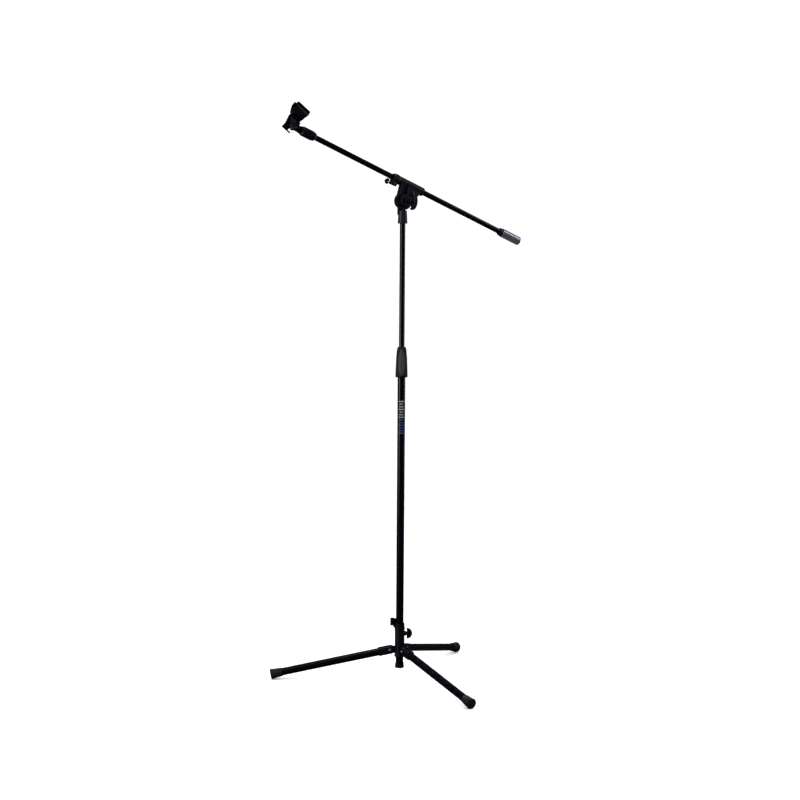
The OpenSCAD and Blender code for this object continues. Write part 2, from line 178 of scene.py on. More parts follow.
def ramp_node(tree, value, low, high):
    """0 below low, 1 above high, smooth between."""
    node = tree.nodes.new("ShaderNodeMapRange")
    node.interpolation_type = "SMOOTHSTEP"
    node.inputs["From Min"].default_value = low
    node.inputs["From Max"].default_value = high
    tree.links.new(value, node.inputs["Value"])
    return node.outputs[0]


def noise_node(tree, scale, detail=3.0, roughness=0.55, vector=None):
    node = tree.nodes.new("ShaderNodeTexNoise")
    node.inputs["Detail"].default_value = detail
    node.inputs["Roughness"].default_value = roughness
    if isinstance(scale, (int, float)):
        node.inputs["Scale"].default_value = scale
    else:
        tree.links.new(scale, node.inputs["Scale"])
    if vector is None:
        vector = tree.nodes.new("ShaderNodeTexCoord").outputs["Object"]
    tree.links.new(vector, node.inputs["Vector"])
    return node.outputs["Fac"]


# %% Grain: fine bumps of two sizes
grain, g_in, g_out = new_group("grain", {"Scale": 2500.0, "Coarse share": 0.3}, ["Height", "Tone"])
fine = noise_node(grain, g_in.outputs["Scale"], detail=2.0)
coarse_scale = math_node(grain, "MULTIPLY", g_in.outputs["Scale"], 0.12)
coarse = noise_node(grain, coarse_scale, detail=4.0)
coarse_part = math_node(grain, "MULTIPLY", coarse, g_in.outputs["Coarse share"])
height = math_node(grain, "ADD", fine, coarse_part)
grain.links.new(height, g_out.inputs["Height"])
grain.links.new(coarse, g_out.inputs["Tone"])

# %% Edge wear: where a rounded normal differs from the true one
edge_wear, w_in, w_out = new_group("edge wear", {"Radius": 0.0008, "Breakup": 260.0}, ["Mask"])
bevel_node = edge_wear.nodes.new("ShaderNodeBevel")
bevel_node.samples = 6
edge_wear.links.new(w_in.outputs["Radius"], bevel_node.inputs["Radius"])
geometry = edge_wear.nodes.new("ShaderNodeNewGeometry")
dot = edge_wear.nodes.new("ShaderNodeVectorMath")
dot.operation = "DOT_PRODUCT"
edge_wear.links.new(bevel_node.outputs["Normal"], dot.inputs[0])
edge_wear.links.new(geometry.outputs["Normal"], dot.inputs[1])
turned = math_node(edge_wear, "SUBTRACT", 1.0, dot.outputs["Value"])
rim = ramp_node(edge_wear, turned, 0.02, 0.22)
patchy = ramp_node(edge_wear, noise_node(edge_wear, w_in.outputs["Breakup"], 4.0), 0.45, 0.7)
edge_wear.links.new(math_node(edge_wear, "MULTIPLY", rim, patchy), w_out.inputs["Mask"])

# %% Dust: settles on upward faces, in patches
dust, d_in, d_out = new_group("dust", {"Amount": 0.5, "Patch size": 60.0}, ["Mask"])
geometry = dust.nodes.new("ShaderNodeNewGeometry")
split = dust.nodes.new("ShaderNodeSeparateXYZ")
dust.links.new(geometry.outputs["Normal"], split.inputs[0])
upward = ramp_node(dust, split.outputs["Z"], 0.35, 1.0)
patches = ramp_node(dust, noise_node(dust, d_in.outputs["Patch size"], 6.0, 0.7), 0.4, 0.75)
settled = math_node(dust, "MULTIPLY", upward, patches)
dust.links.new(math_node(dust, "MULTIPLY", settled, d_in.outputs["Amount"]), d_out.inputs["Mask"])

# %% Drawn lines: faint marks along a tube, from drawing and from sliding
STRETCH = 0.985        # share of the length along the tube that the noise doesn't see
drawn, l_in, l_out = new_group("drawn lines", {"Scale": 900.0}, ["Height", "Mask"])
drawn.interface.new_socket("Along", in_out="INPUT", socket_type="NodeSocketVector")
coordinates = drawn.nodes.new("ShaderNodeTexCoord")
along = drawn.nodes.new("ShaderNodeVectorMath")
along.operation = "DOT_PRODUCT"
drawn.links.new(coordinates.outputs["Object"], along.inputs[0])
drawn.links.new(l_in.outputs["Along"], along.inputs[1])
squeeze = drawn.nodes.new("ShaderNodeVectorMath")
squeeze.operation = "SCALE"
drawn.links.new(l_in.outputs["Along"], squeeze.inputs[0])
drawn.links.new(math_node(drawn, "MULTIPLY", along.outputs["Value"], STRETCH), squeeze.inputs["Scale"])
flat = drawn.nodes.new("ShaderNodeVectorMath")
flat.operation = "SUBTRACT"
drawn.links.new(coordinates.outputs["Object"], flat.inputs[0])
drawn.links.new(squeeze.outputs["Vector"], flat.inputs[1])
lines = noise_node(drawn, l_in.outputs["Scale"], 3.0, 0.6, flat.outputs["Vector"])
drawn.links.new(lines, l_out.inputs["Height"])
drawn.links.new(ramp_node(drawn, lines, 0.62, 0.72), l_out.inputs["Mask"])
print("node groups:", [group.name for group in bpy.data.node_groups])

# %% [markdown]
# ## Finishes
# Nearly everything here is black, so the finishes differ in gloss and texture more than
# in colour: satin enamel on the tubes, an orange-peel powder coat on the castings, fine
# spark texture on the moulded knobs, dull rubber on the feet and a metallic sheen on the
# counterweight. One function lays the common ground: a base colour that varies a
# little, grain as bump and in the roughness, rubbed edges, and dust.

# %% One ground for the coated and moulded finishes
DUST_COLOUR = (0.16, 0.155, 0.15)
DARK_SHARE = 0.72      # brightness of a finish where its grain is darkest


def group_node(tree, group, **values):
    node = tree.nodes.new("ShaderNodeGroup")
    node.node_tree = group
    for label, value in values.items():
        node.inputs[label.replace("_", " ")].default_value = value
    return node


def mix_colour(tree, mask, first, second):
    """first where the mask is 0, second where it is 1; each a colour or a socket."""
    node = tree.nodes.new("ShaderNodeMix")
    node.data_type = "RGBA"
    for index, value in ((6, first), (7, second)):
        if isinstance(value, tuple):
            node.inputs[index].default_value = (*value, 1.0)
        else:
            tree.links.new(value, node.inputs[index])
    tree.links.new(mask, node.inputs[0])
    return node.outputs[2]


def finish(name, colour, rough, grain_scale=2500.0, bump=0.1, bump_mm=0.05, specular=0.4,
           metallic=0.0, worn=(0.09, 0.09, 0.095), wear=0.5, dusty=0.12, along=None,
           coat=0.0, rough_spread=0.12):
    """A finished material: colour, roughness and bump all come from the shared effects."""
    material = bpy.data.materials.new(name)
    material.use_nodes = True
    tree = material.node_tree
    shader = tree.nodes["Principled BSDF"]
    shader.inputs["Metallic"].default_value = metallic
    shader.inputs["Specular IOR Level"].default_value = specular
    shader.inputs["Coat Weight"].default_value = coat
    shader.inputs["Coat Roughness"].default_value = 0.08
    texture = group_node(tree, grain, Scale=grain_scale)
    rubbed = group_node(tree, edge_wear)
    settled_dust = group_node(tree, dust, Amount=dusty)
    darker = tuple(channel * DARK_SHARE for channel in colour)
    base = mix_colour(tree, ramp_node(tree, texture.outputs["Tone"], 0.3, 0.7), darker, colour)
    wear_mask = math_node(tree, "MULTIPLY", rubbed.outputs["Mask"], wear)
    base = mix_colour(tree, wear_mask, base, worn)
    base = mix_colour(tree, settled_dust.outputs["Mask"], base, DUST_COLOUR)
    tree.links.new(base, shader.inputs["Base Color"])
    spread = math_node(tree, "MULTIPLY", texture.outputs["Tone"], rough_spread)
    roughness = math_node(tree, "ADD", spread, rough - rough_spread / 2)
    dull = math_node(tree, "MULTIPLY", settled_dust.outputs["Mask"], 0.5)
    roughness = math_node(tree, "ADD", roughness, dull, clamp=True)
    tree.links.new(roughness, shader.inputs["Roughness"])
    relief = texture.outputs["Height"]
    if along is not None:
        streaks = group_node(tree, drawn)
        streaks.inputs["Along"].default_value = along
        streak_relief = math_node(tree, "MULTIPLY", streaks.outputs["Height"], 1.5)
        relief = math_node(tree, "ADD", relief, streak_relief)
    bump_node = tree.nodes.new("ShaderNodeBump")
    bump_node.inputs["Strength"].default_value = bump
    bump_node.inputs["Distance"].default_value = bump_mm * MM
    tree.links.new(relief, bump_node.inputs["Height"])
    tree.links.new(bump_node.outputs["Normal"], shader.inputs["Normal"])
    return material


def dress(material, *names):
    """Gives parts of the frame this material in every slot."""
    for name in names:
        slots = nodes[name].data.materials
        slots.clear()
        slots.append(material)


# %% Satin enamel on the tubes, one material for each direction
def enamel(name, axis):
    return finish(name, (0.0026, 0.0026, 0.0034), 0.24, grain_scale=1400.0, bump=0.12,
                  bump_mm=0.03, specular=0.27, along=tuple(axis), wear=0.3, dusty=0.06)


column_enamel = enamel("column_enamel", (0, 0, 1))
boom_enamel = enamel("boom_enamel", joint_axis("boom_slide"))
dress(column_enamel, "lower_tube", "upper_tube")
dress(boom_enamel, "boom_tube")
for i in (1, 2, 3):
    direction = middle(f"leg_tube_{i}") - joint_pos(f"leg_{i}_fold")
    dress(enamel(f"leg_enamel_{i}", direction.normalized()), f"leg_tube_{i}")

# %% Powder coat on the castings
hub_coat = finish("hub_powder_coat", (0.0038, 0.0038, 0.0052), 0.44, grain_scale=1100.0, bump=0.35,
                  bump_mm=0.1, specular=0.25, worn=(0.12, 0.12, 0.125), wear=0.45)
swivel_coat = finish("swivel_powder_coat", (0.0042, 0.0042, 0.0072), 0.42, grain_scale=1200.0,
                     bump=0.3, bump_mm=0.1, specular=0.28, worn=(0.12, 0.12, 0.13), wear=0.4)
dress(hub_coat, "hub")
dress(swivel_coat, "swivel_base", "boom_holder")

# %% Moulded plastic, from satin to fine spark texture
moulded = finish("moulded_black", (0.0033, 0.0033, 0.004), 0.4, grain_scale=3200.0, bump=0.22,
                 bump_mm=0.05, specular=0.27, worn=(0.04, 0.04, 0.042))
clutch_finish = finish("clutch_spark_texture", (0.0045, 0.0045, 0.0055), 0.55, grain_scale=2600.0,
                       bump=0.5, bump_mm=0.08, specular=0.2, worn=(0.05, 0.05, 0.052))
clip_finish = finish("clip_satin", (0.0034, 0.0034, 0.005), 0.32, grain_scale=3000.0, bump=0.15,
                     bump_mm=0.04, specular=0.3, worn=(0.045, 0.045, 0.05))
gloss_finish = finish("weight_gloss", (0.22, 0.22, 0.262), 0.3, grain_scale=700.0, bump=0.05,
                      bump_mm=0.04, specular=0.8, metallic=0.85, wear=0.2, dusty=0.1, coat=0.5,
                      rough_spread=0.05)
nylon = finish("natural_nylon", (0.62, 0.6, 0.54), 0.5, grain_scale=2200.0, bump=0.15, specular=0.4,
               worn=(0.7, 0.68, 0.62), dusty=0.1)
dress(moulded, "cable_clip", "hub_knob", "leg_knuckle_1", "leg_knuckle_2", "leg_knuckle_3",
      "tube_cap", "tilt_knob", "boom_liner", "clamp_knob", "lock_ring", "weight_collar", "clutch_core")
# Lighter grey for the thumb panels: a painted highlight on the grip's dark plastic.
panel_painted_highlight = finish("clutch_panel_painted_highlight", (0.024, 0.024, 0.027), 0.6, grain_scale=2200.0,
                      bump=0.3, bump_mm=0.05, specular=0.3, worn=(0.09, 0.09, 0.092))
dress(clutch_finish, "clutch_grip")
dress(clip_finish, "clip_stem", "jaw_fixed", "jaw_moving")
dress(gloss_finish, "weight_cover")
dress(nylon, "clutch_collet", "guide_bush")

# %% Rubber, dull and a little dusty
rubber = finish("foot_rubber", (0.005, 0.005, 0.0055), 0.7, grain_scale=1800.0, bump=0.4,
                bump_mm=0.09, specular=0.25, worn=(0.04, 0.04, 0.04), dusty=0.25)
pad_rubber = finish("pad_rubber", (0.009, 0.009, 0.009), 0.8, grain_scale=2400.0, bump=0.4,
                    bump_mm=0.08, specular=0.2, worn=(0.03, 0.03, 0.03))
fibre = finish("pressed_fibre", (0.16, 0.105, 0.06), 0.82, grain_scale=1500.0, bump=0.5,
               bump_mm=0.08, specular=0.2, worn=(0.22, 0.16, 0.1))
dress(rubber, "foot_1", "foot_2", "foot_3")
dress(pad_rubber, "pad_fixed", "pad_moving")
dress(fibre, "friction_disc")

# %% Metals: zinc plate, bright chrome, brass and plain steel
zinc = finish("zinc_plate", (0.55, 0.56, 0.58), 0.32, grain_scale=1600.0, bump=0.15, bump_mm=0.03,
              metallic=1.0, worn=(0.7, 0.7, 0.71), dusty=0.1)
chrome = finish("bright_chrome", (0.74, 0.75, 0.77), 0.12, grain_scale=900.0, bump=0.05, bump_mm=0.02,
                metallic=1.0, worn=(0.8, 0.8, 0.81), dusty=0.05, rough_spread=0.06)
brass = finish("turned_brass", (0.66, 0.48, 0.2), 0.28, grain_scale=1500.0, bump=0.15, bump_mm=0.03,
               metallic=1.0, worn=(0.8, 0.62, 0.32), dusty=0.05)
steel = finish("plain_steel", (0.3, 0.3, 0.31), 0.42, grain_scale=1400.0, bump=0.2, bump_mm=0.04,
               metallic=1.0, worn=(0.5, 0.5, 0.5))
black_zinc = finish("black_zinc", (0.035, 0.036, 0.038), 0.38, grain_scale=1600.0, bump=0.15,
                    bump_mm=0.03, specular=0.5, metallic=0.6, worn=(0.3, 0.3, 0.31), wear=0.8, dusty=0.1)
rivet = finish("rivet_steel", (0.3, 0.3, 0.31), 0.35, grain_scale=1500.0, bump=0.15, bump_mm=0.03,
               metallic=1.0, worn=(0.6, 0.6, 0.61), dusty=0.2)
dress(zinc, "clamp_screw", "jaw_pin", "jaw_spring")
dress(rivet, "leg_pins", "tilt_bolt")
dress(black_zinc, "hub_screw", "bolt_washer", "clamp_nut", "clip_screw", "clip_nut")
dress(chrome, "boom_adapter")
dress(brass, "clip_insert")
dress(steel, "weight_core")

# %% Printed marks: pale at the top, blue below
print_ink = finish("printed_marks", (0.3, 0.315, 0.35), 0.5, grain_scale=2000.0, bump=0.05, dusty=0.05)
ink_tree = print_ink.node_tree
ink_low, ink_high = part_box("tube_marks")
ink_coordinates = ink_tree.nodes.new("ShaderNodeTexCoord")
ink_split = ink_tree.nodes.new("ShaderNodeSeparateXYZ")
ink_tree.links.new(ink_coordinates.outputs["Object"], ink_split.inputs[0])
ink_middle = (ink_low.z + ink_high.z) / 2
ink_mask = ramp_node(ink_tree, ink_split.outputs["Z"], ink_middle - 0.012, ink_middle + 0.004)
ink_flecks = ramp_node(ink_tree, noise_node(ink_tree, 1800.0), 0.25, 0.4)
ink_colour = mix_colour(ink_tree, ink_mask, (0.01, 0.022, 0.11), (0.15, 0.156, 0.145))
ink_colour = mix_colour(ink_tree, ink_flecks, (0.01, 0.01, 0.011), ink_colour)
ink_tree.links.new(ink_colour, ink_tree.nodes["Principled BSDF"].inputs["Base Color"])
dress(print_ink, "tube_marks")
print("materials:", len(bpy.data.materials))

# %% [markdown]
# ## Finer pieces
# Some solids in the frame are plain on purpose: a thread is a cylinder and a spring is a
# few rings, because that is what the physics needs. Here they get their real shape. Most
# of them are turned parts, so one function revolves a profile about a line, and a second
# one sweeps a wire along a path. Where a surface isn't round, a small function changes
# the radius with the angle: ribs on a grip, or the helix of a thread.

# %% Revolving a profile and sweeping a wire
def revolve(profile, steps=72, ripple=None, sweep=math.tau, closed=False):
    """Turns (x, radius) points in millimetres about the x axis.

    ripple(x, angle, radius) gives the radius where the surface isn't round.
    """
    form = bmesh.new()
    full = abs(sweep - math.tau) < 1e-6
    columns = []
    for k in range(steps if full else steps + 1):
        angle = sweep * k / steps
        column = []
        for x, radius in profile:
            if ripple is not None:
                radius = ripple(x, angle, radius)
            point = (x * MM, radius * math.cos(angle) * MM, radius * math.sin(angle) * MM)
            column.append(form.verts.new(point))
        columns.append(column)
    count = len(profile)
    rows = count if closed else count - 1
    for k in range(steps):
        here, there = columns[k], columns[(k + 1) % len(columns)]
        for j in range(rows):
            form.faces.new((here[j], here[(j + 1) % count], there[(j + 1) % count], there[j]))
    if closed and not full:
        form.faces.new(columns[0])
        form.faces.new(columns[-1][::-1])
    bmesh.ops.remove_doubles(form, verts=form.verts, dist=1e-7)
    bmesh.ops.recalc_face_normals(form, faces=form.faces)
    return form


def wire(points, radius, sides=10):
    """A round wire through points in millimetres."""
    form = bmesh.new()
    path = [Vector(point) * MM for point in points]
    normal = None
    rings = []
    for k, point in enumerate(path):
        ahead = (path[min(k + 1, len(path) - 1)] - path[max(k - 1, 0)]).normalized()
        if normal is None:
            normal = ahead.orthogonal()
        normal = (normal - ahead * normal.dot(ahead)).normalized()
        side = ahead.cross(normal)
        ring = []
        for j in range(sides):
            angle = math.tau * j / sides
            out = normal * math.cos(angle) + side * math.sin(angle)
            ring.append(form.verts.new(point + out * radius * MM))
        rings.append(ring)
    for here, there in zip(rings, rings[1:]):
        for j in range(sides):
            form.faces.new((here[j], here[(j + 1) % sides], there[(j + 1) % sides], there[j]))
    form.faces.new(rings[0][::-1])
    form.faces.new(rings[-1])
    bmesh.ops.recalc_face_normals(form, faces=form.faces)
    return form


def add_piece(name, forms, matrix, material, body, replaced=(), crease=40):
    """Joins forms into one object in its place, dresses it and lets it ride on its body."""
    mesh = bpy.data.meshes.new(name)
    whole = bmesh.new()
    for form in forms:
        part = bpy.data.meshes.new(name + "_part")
        form.to_mesh(part)
        whole.from_mesh(part)
        form.free()
        bpy.data.meshes.remove(part)
    whole.to_mesh(mesh)
    whole.free()
    mesh.transform(matrix)
    mesh.materials.append(material)
    mesh.shade_smooth()
    mesh.set_sharp_from_angle(angle=math.radians(crease))
    piece = bpy.data.objects.new(name, mesh)
    bpy.context.scene.collection.objects.link(piece)
    if replaced:
        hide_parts(*replaced)
    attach(piece, body)
    return piece


# %% [markdown]
# ### Rubber feet
# Each foot is a moulded boot on the tube's end. It has a thick rim where it meets the
# floor and four soft rings above, which let the rubber grip the tube. It is turned like a
# lathe part and then pressed flat against the floor, as the real one is by the weight.

# %% Feet with rings, flat on the floor
def foot_profile():
    outer = [(0.0, 0.0), (0.0, 13.6), (-0.5, 14.8), (-1.4, 15.5), (-3.2, 15.5), (-4.3, 15.0)]
    for k in range(25):
        share = k / 24
        ring = 0.45 * max(0.0, math.sin(share * 4 * math.tau)) ** 0.6
        outer.append((-5.5 - 25.5 * share, 14.2 - 1.9 * share + ring))
    return outer + [(-33.6, 12.4), (-34.6, 12.1), (-35.0, 11.5), (-34.6, 11.1), (-20.0, 11.05)]


for i, leg in enumerate(leg_places, start=1):
    boot = add_piece(f"boot_{i}", [revolve(foot_profile(), steps=96)],
                     leg @ Matrix.Translation((FOOT_END * MM, 0, 0)), rubber, f"leg_{i}",
                     [f"foot_{i}"])
    for vertex in boot.data.vertices:
        vertex.co.z = max(vertex.co.z, 0.0)
print("feet:", 3)

# %% [markdown]
# ### Wing knobs
# A half-moon wing gives the thumb and finger a good lever. The moulding has a thick
# rounded rim with fine ridges, a thinner web inside it, and a fluted collar on the screw.

# %% Half-moon wings
def wing_forms(radius, thick, collar_radius, collar_end, flutes, bore):
    """A wing that grows along x: the forms of its half-moon and of its collar."""
    half = thick / 2
    web = half * 0.5
    section = [(0.0, web), (radius * 0.70, web), (radius * 0.76, half * 0.86), (radius * 0.80, half),
               (radius * 0.93, half), (radius * 0.98, half * 0.8), (radius, half * 0.35)]
    section = section + [(r, -t) for r, t in section[::-1]]
    moon = bmesh.new()
    arcs = 96
    columns = []
    for k in range(arcs + 1):
        angle = math.pi * k / arcs - math.pi / 2
        ridge = 0.18 * math.cos(angle * 44) if 3 < k < arcs - 3 else -0.2
        column = []
        for r, t in section:
            reach = r + ridge if r > radius * 0.9 else r
            point = (collar_end + reach * math.cos(angle), t, reach * math.sin(angle))
            column.append(moon.verts.new([value * MM for value in point]))
        columns.append(column)
    for here, there in zip(columns, columns[1:]):
        for j in range(len(section) - 1):
            moon.faces.new((here[j], here[j + 1], there[j + 1], there[j]))
    moon.faces.new(columns[0])
    moon.faces.new(columns[-1][::-1])
    bmesh.ops.remove_doubles(moon, verts=moon.verts, dist=1e-7)
    bmesh.ops.recalc_face_normals(moon, faces=moon.faces)
    profile = [(0.0, bore), (0.0, collar_radius - 0.5), (0.5, collar_radius),
               (collar_end - 0.5, collar_radius * 0.97), (collar_end + radius * 0.30, collar_radius * 0.86),
               (collar_end + radius * 0.40, collar_radius * 0.5), (collar_end + radius * 0.42, 0.0)]

    def fluted(x, angle, r):
        deep = 0.07 * collar_radius if 0.4 < x < collar_end + radius * 0.3 else 0.0
        return r - deep * (0.5 + 0.5 * math.cos(angle * flutes)) if r > bore else r
    return [moon, revolve(profile, steps=96, ripple=fluted)]


hub_axis = joint_axis("hub_knob_turn")
hub_knob_place = place(Vector((0, 0, joint_pos("hub_knob_turn").z)) + hub_axis * HUB_KNOB_OUT * MM,
                       hub_axis, hub_axis.cross(Vector((0, 0, 1))))
hub_wing = wing_forms(radius=16.0, thick=7.0, collar_radius=5.5, collar_end=1.5, flutes=10, bore=3.0)
add_piece("hub_wing", hub_wing, hub_knob_place, moulded, "hub_lock", ["hub_knob"])
tilt_axis = joint_axis("tilt_knob_turn")
tilt_knob_place = place(Vector((0, 0, joint_pos("boom_tilt").z)) + tilt_axis * TILT_KNOB_OUT * MM,
                        tilt_axis, Vector((1, 0, 0)))
tilt_wing = wing_forms(radius=26.0, thick=10.0, collar_radius=8.6, collar_end=17.0, flutes=12, bore=4.05)
add_piece("tilt_wing", tilt_wing, tilt_knob_place, moulded, "tilt_lock", ["tilt_knob"])
print("wing knobs:", 2)

# %% [markdown]
# ### Twist clutch
# The grip is a long cone moulded in soft dark plastic. Fine ribs run down it for a firm
# hold, and three oval thumb panels stay smooth. The panels' lighter grey is a painted
# highlight, and the first panel faces the camera. Ribs and panels come from one radius
# function: the ribs are a cosine of the angle, and they fade out inside each oval.

# %% Clutch grip with ribs and oval panels
clutch_low, clutch_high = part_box("clutch_grip")
clutch_span = (clutch_high.z - clutch_low.z) / MM
# The first panel points straight at the camera, so its lighter grey is a painted highlight there.
PANEL_TURN = math.radians(-122.0)
PANEL_HALF = 0.62      # half a panel's width, in radians
PANEL_SHARE = 0.44     # half a panel's length as a share of the grip
RIBS = 48
TOP_GAP = 0.2          # keeps the grip's rim just clear of the neck when the mast is down


def oval(x, angle):
    """1 inside a thumb panel, 0 outside, smooth between."""
    turn_from = (angle - PANEL_TURN + math.pi / 3) % (math.tau / 3) - math.pi / 3
    reach = math.hypot((x - clutch_span * 0.5) / (clutch_span * PANEL_SHARE), turn_from / PANEL_HALF)
    return max(0.0, min(1.0, (1.06 - reach) / 0.12))


def clutch_ripple(x, angle, r):
    if r < 10.5 or x < 8.5 or x > clutch_span - 6:
        return r
    ribs = 0.22 * (0.5 + 0.5 * math.cos(angle * RIBS))
    return r - 0.42 + (0.2 + ribs) * (1.0 - oval(x, angle))


clutch_profile = [(0.0, 15.4), (0.0, 16.9), (0.4, 17.4), (1.2, 17.6),
                  (6.0, 17.6), (7.0, 17.45), (7.6, 17.0), (8.4, 17.35)]
knee = clutch_span - 34.0
for k in range(44):
    x = 9.0 + (clutch_span - 12.0 - 9.0) * k / 43
    r = 17.45 - 1.45 * (x - 6.0) / (knee - 6.0) if x < knee else 16.0 - 2.1 * (x - knee) / 22.0
    clutch_profile.append((x, r))
clutch_profile += [(clutch_span - 9.0, 13.6), (clutch_span - 5.0, 12.7), (clutch_span - 2.6, 11.8),
                   (clutch_span - 1.2, 10.9), (clutch_span - 0.5, 10.0), (clutch_span - TOP_GAP, 9.2),
                   (clutch_span - TOP_GAP, 8.4)]
clutch_place = place((0, 0, clutch_low.z), (0, 0, 1), (1, 0, 0))
sleeve = revolve(clutch_profile, steps=8 * RIBS, ripple=clutch_ripple)
grip = add_piece("clutch_sleeve", [sleeve], clutch_place, clutch_finish, "clutch",
                 ["clutch_grip"], crease=60)
# Faces inside the ovals take the lighter panel grey, which is the painted highlight.
grip.data.materials.append(panel_painted_highlight)
for polygon in grip.data.polygons:
    spot = polygon.center
    if oval((spot.z - clutch_low.z) / MM, math.atan2(spot.y, spot.x)) > 0.6:
        polygon.material_index = 1
print("clutch faces:", len(grip.data.polygons))

# %% [markdown]
# ### Threads
# A thread is a profile whose radius depends on how far the helix has climbed at that
# angle. With enough steps along the screw the crests line up into one spiral.

# %% Boom stud and clamp screw
def screw_thread(pitch, depth, start, end):
    def ripple(x, angle, r):
        if not start < x < end or r < 1.0:
            return r
        climb = (x / pitch - angle / math.tau) % 1.0
        return r - depth * abs(2.0 * climb - 1.0)
    return ripple


def threaded_rod(start, end, radius, pitch, chamfer):
    rows = int((end - start - 2 * chamfer) / pitch * 8)
    body = [(start + chamfer + (end - start - 2 * chamfer) * k / rows, radius) for k in range(rows + 1)]
    return [(start, 0.0), (start, radius - chamfer)] + body + [(end, radius - chamfer), (end, 0.0)]


STUD_PITCH = 0.94      # about 27 turns to the inch
CLAMP_PITCH = 0.8
CLAMP_BACK = 20.0      # from the clamp screw's own origin to the middle of its knob joint
boom_end = -BOOM_FRONT
stud = revolve(threaded_rod(boom_end - 29.0, boom_end - 3.2, 7.75, STUD_PITCH, 0.7), steps=64,
               ripple=screw_thread(STUD_PITCH, 0.5, boom_end - 28.4, boom_end - 3.8))
shoulder = revolve([(boom_end - 3.5, 0.0), (boom_end - 3.5, 8.1), (boom_end - 3.0, 8.6),
                    (boom_end - 0.5, 8.65), (boom_end, 8.2), (boom_end, 6.5),
                    (boom_end + 12.0, 6.5), (boom_end + 12.0, 0.0)])
add_piece("boom_stud", [stud, shoulder], boom_place, chrome, "boom", ["boom_adapter"])
clamp_axis = joint_axis("clamp_knob_turn")
clamp_place = place(joint_pos("clamp_knob_turn") - clamp_axis * CLAMP_BACK * MM, clamp_axis,
                    -joint_axis("boom_slide"))
clamp = revolve(threaded_rod(-11.5, 41.0, 2.5, CLAMP_PITCH, 0.4), steps=32,
                ripple=screw_thread(CLAMP_PITCH, 0.35, -11.0, 33.5))
add_piece("clamp_thread", [clamp], clamp_place, zinc, "clamp_lock", ["clamp_screw"])

# %% Clip spring: one wire, wound round the hinge pin and ending in an arm
HINGE_SPOT = Vector((-14.0, 0.0, 22.0))
COIL_TURNS = 5
COIL_STEPS = 24        # points in one turn
COIL_RADIUS = 2.9
COIL_START = -3.6      # along the pin, from the middle of the hinge
COIL_LENGTH = 6.5
ARM_LEAVES = math.radians(218.0)
coil = []
for k in range(COIL_TURNS * COIL_STEPS + 1):
    angle = ARM_LEAVES + math.tau * k / COIL_STEPS
    x = COIL_START + COIL_LENGTH * k / (COIL_TURNS * COIL_STEPS)
    out = Vector((x, COIL_RADIUS * math.cos(angle), COIL_RADIUS * math.sin(angle)))
    coil.append(HINGE_SPOT + out)
arm_way = Vector((0, -math.sin(angle), math.cos(angle)))
arm = [coil[-1] + arm_way * d for d in (1.5, 5.0, 10.0, 14.0)]
add_piece("clip_spring", [wire(coil + arm, 0.62)], clip_place, zinc, "clip", ["jaw_spring"])
print("threads and spring added")

# %% [markdown]
# ### Clip details
# The rubber pads in the jaws have fine ribs across the handle they hold, and the clip's
# two levers have raised bars where the fingers press.

# %% Ribbed pads and finger bars
JAW_MIDDLE = Vector((-14.0, 0.0, 40.0))
PAD_HALF = 16.0        # half a pad's length
PAD_INNER = 12.5
PAD_OUTER = 13.65
RIB_PITCH = 2.4
PAD_FROM = math.radians(-55.0)
PAD_SWEEP = math.radians(99.0)


def pad_ribs(x, angle, r):
    return r + 0.4 * (0.5 + 0.5 * math.cos(math.tau * x / RIB_PITCH)) if r < 13.0 else r


pad_section = [(PAD_HALF * (k / 40 - 1), PAD_INNER) for k in range(81)]
pad_section += [(PAD_HALF, PAD_OUTER), (-PAD_HALF, PAD_OUTER)]
for name, body, replaced, half_turn in (("rib_pad_fixed", "clip", "pad_fixed", 0.0),
                                        ("rib_pad_moving", "jaw", "pad_moving", math.pi)):
    pad_place = (clip_place @ Matrix.Translation(JAW_MIDDLE * MM) @ Matrix.Rotation(half_turn, 4, "Z")
                 @ Matrix.Rotation(PAD_FROM, 4, "X"))
    add_piece(name, [revolve(pad_section, steps=28, ripple=pad_ribs, sweep=PAD_SWEEP, closed=True)],
              pad_place, pad_rubber, body, [replaced])

LEVER_TOP = Vector((0, 4.6, 21.0))
LEVER_WAY = Vector((0, 19.0, -36.4)).normalized()
BAR_ENDS = (-21.0, -20.4, -10.8, -10.2)
for name, body, side in (("finger_bars_fixed", "clip", 1), ("finger_bars_moving", "jaw", -1)):
    bars = []
    for k in range(5):
        spot = LEVER_TOP + LEVER_WAY * (22.0 + 3.4 * k)
        bars.append(wire([(x, side * spot.y, spot.z) for x in BAR_ENDS], 0.6))
    add_piece(name, bars, clip_place, clip_finish, body)
print("clip details added")

# %% [markdown]
# ## Floor, light and camera
# The stand is shown on a plain white sweep. Black parts are lit by what they reflect, so
# the light comes from a few large soft panels: a tall one at each side draws the long
# highlights on the tubes. The world is white to the camera and lights the floor evenly,
# but glossy reflections see a much dimmer room, which keeps the blacks deep.

# %% Floor
floor_mesh = bpy.data.meshes.new("floor")
floor_form = bmesh.new()
bmesh.ops.create_grid(floor_form, x_segments=8, y_segments=8, size=30.0)
floor_form.to_mesh(floor_mesh)
floor = bpy.data.objects.new("floor", floor_mesh)
floor.location.z = -0.0005
bpy.context.scene.collection.objects.link(floor)
floor_paint = finish("floor_paint", (0.93, 0.93, 0.93), 0.9, grain_scale=3.0, bump=0.02, specular=0.1,
                     worn=(0.93, 0.93, 0.93), dusty=0.0)
floor_tree = floor_paint.node_tree
floor_tone = ramp_node(floor_tree, noise_node(floor_tree, 0.8), 0.2, 0.8)
floor_colour = mix_colour(floor_tree, floor_tone, (0.945, 0.945, 0.95), (0.955, 0.955, 0.955))
floor_tree.links.new(floor_colour, floor_tree.nodes["Principled BSDF"].inputs["Base Color"])
floor_mesh.materials.append(floor_paint)
floor.visible_glossy = False

